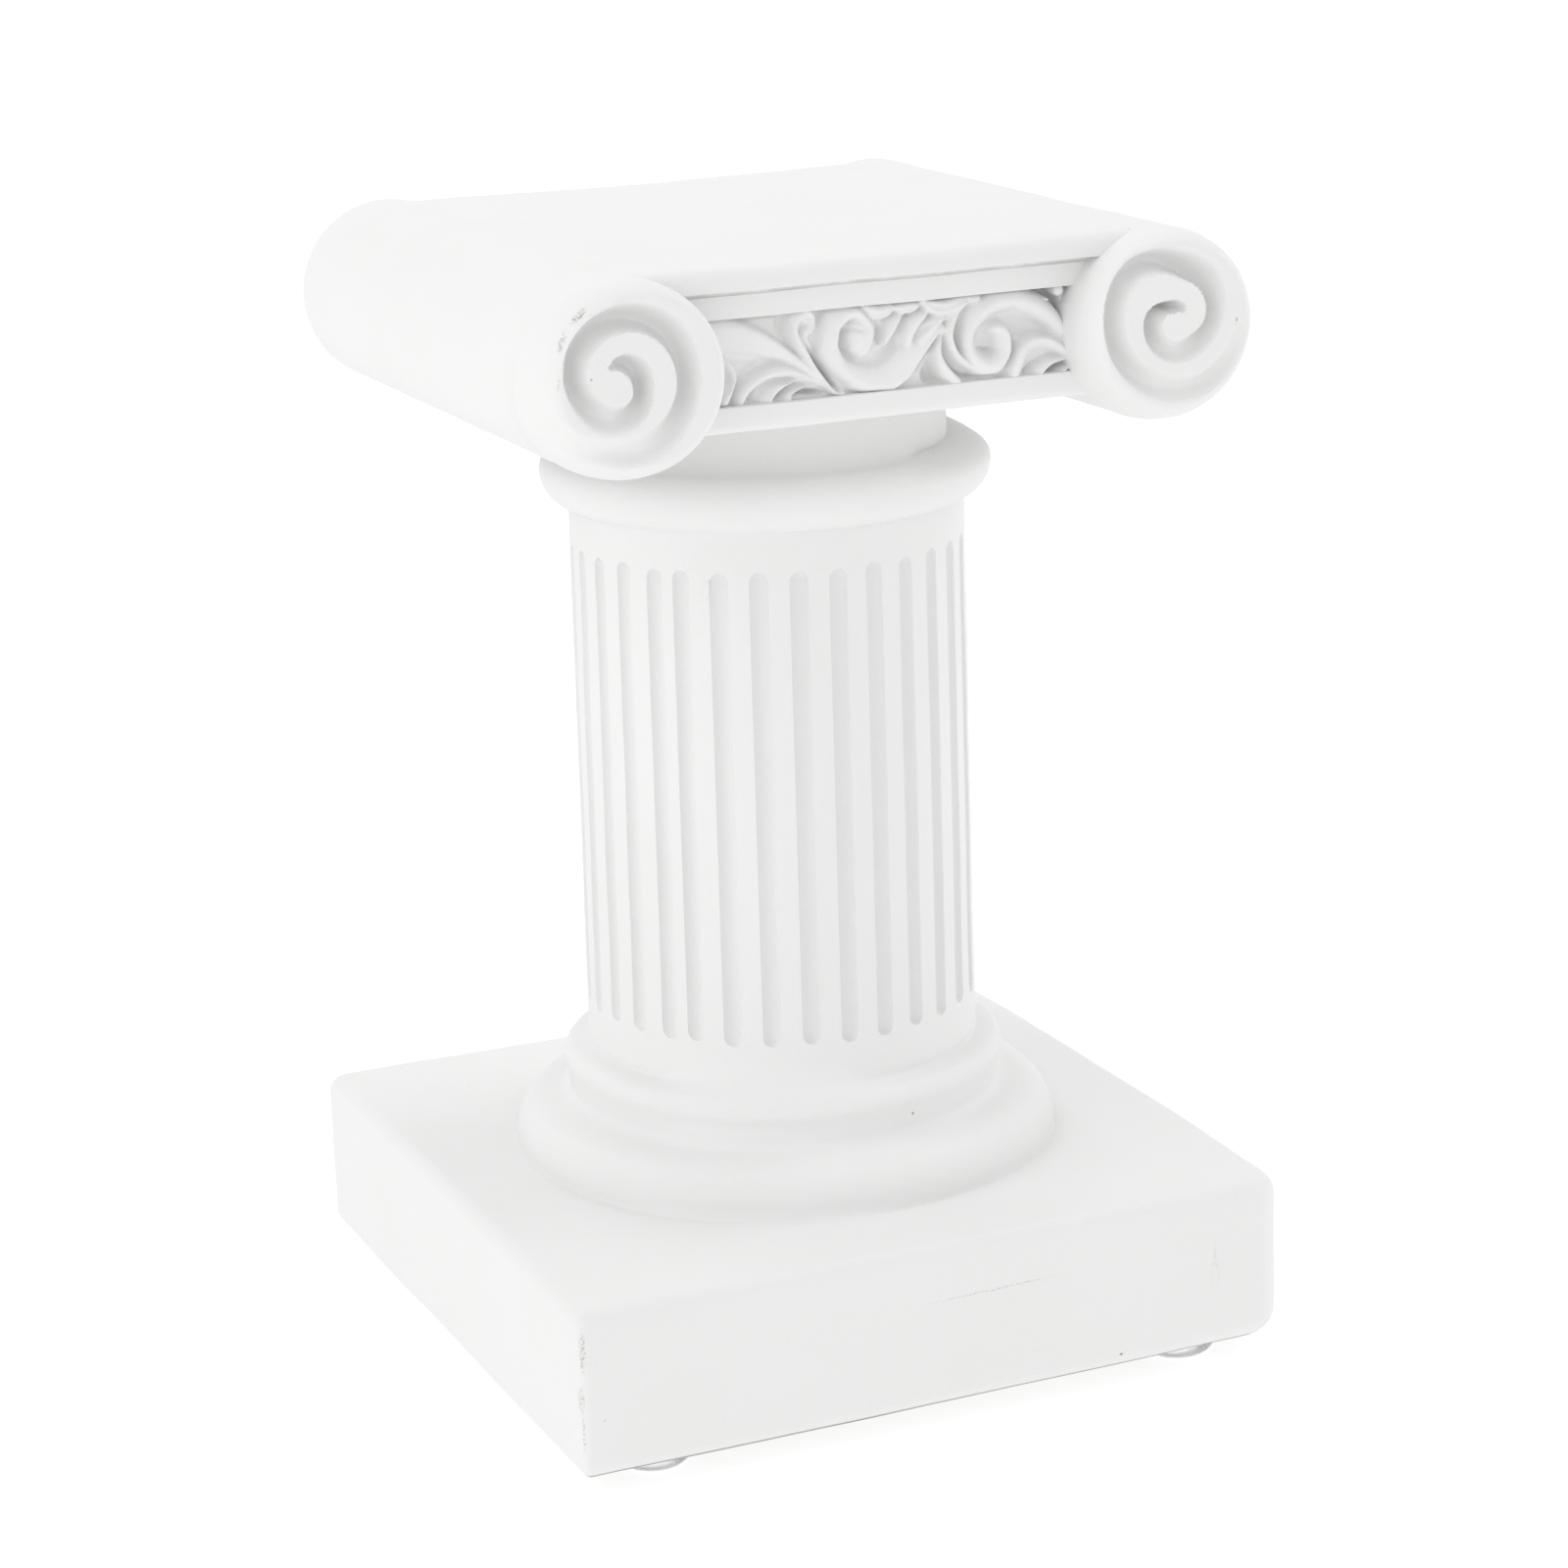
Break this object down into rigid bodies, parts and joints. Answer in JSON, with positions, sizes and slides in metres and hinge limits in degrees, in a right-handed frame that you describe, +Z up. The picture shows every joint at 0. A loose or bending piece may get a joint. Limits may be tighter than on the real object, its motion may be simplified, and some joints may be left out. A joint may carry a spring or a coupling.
{
  "type": "roman column",
  "caption": "Square plinth, fluted round shaft and scrolled capital with a carved frieze, cast in white plaster as a small desk column on clear domed pads.",
  "frame": {"origin": "under the middle of the column, on the surface that its pads stand on", "axes": "+Z up along the shaft, the carved front of the capital towards -Y, +X to the right as seen from the front"},
  "size_m": [0.1, 0.1, 0.1491],
  "materials": {
    "plaster": "matte white casting plaster",
    "clear_pad": "clear glossy soft polyurethane"
  },
  "bodies": {
    "root": {"column_casting": "plaster", "bumper_pad_front_left": "clear_pad", "bumper_pad_front_right": "clear_pad", "bumper_pad_back_left": "clear_pad", "bumper_pad_back_right": "clear_pad"}
  },
  "joints": []
}
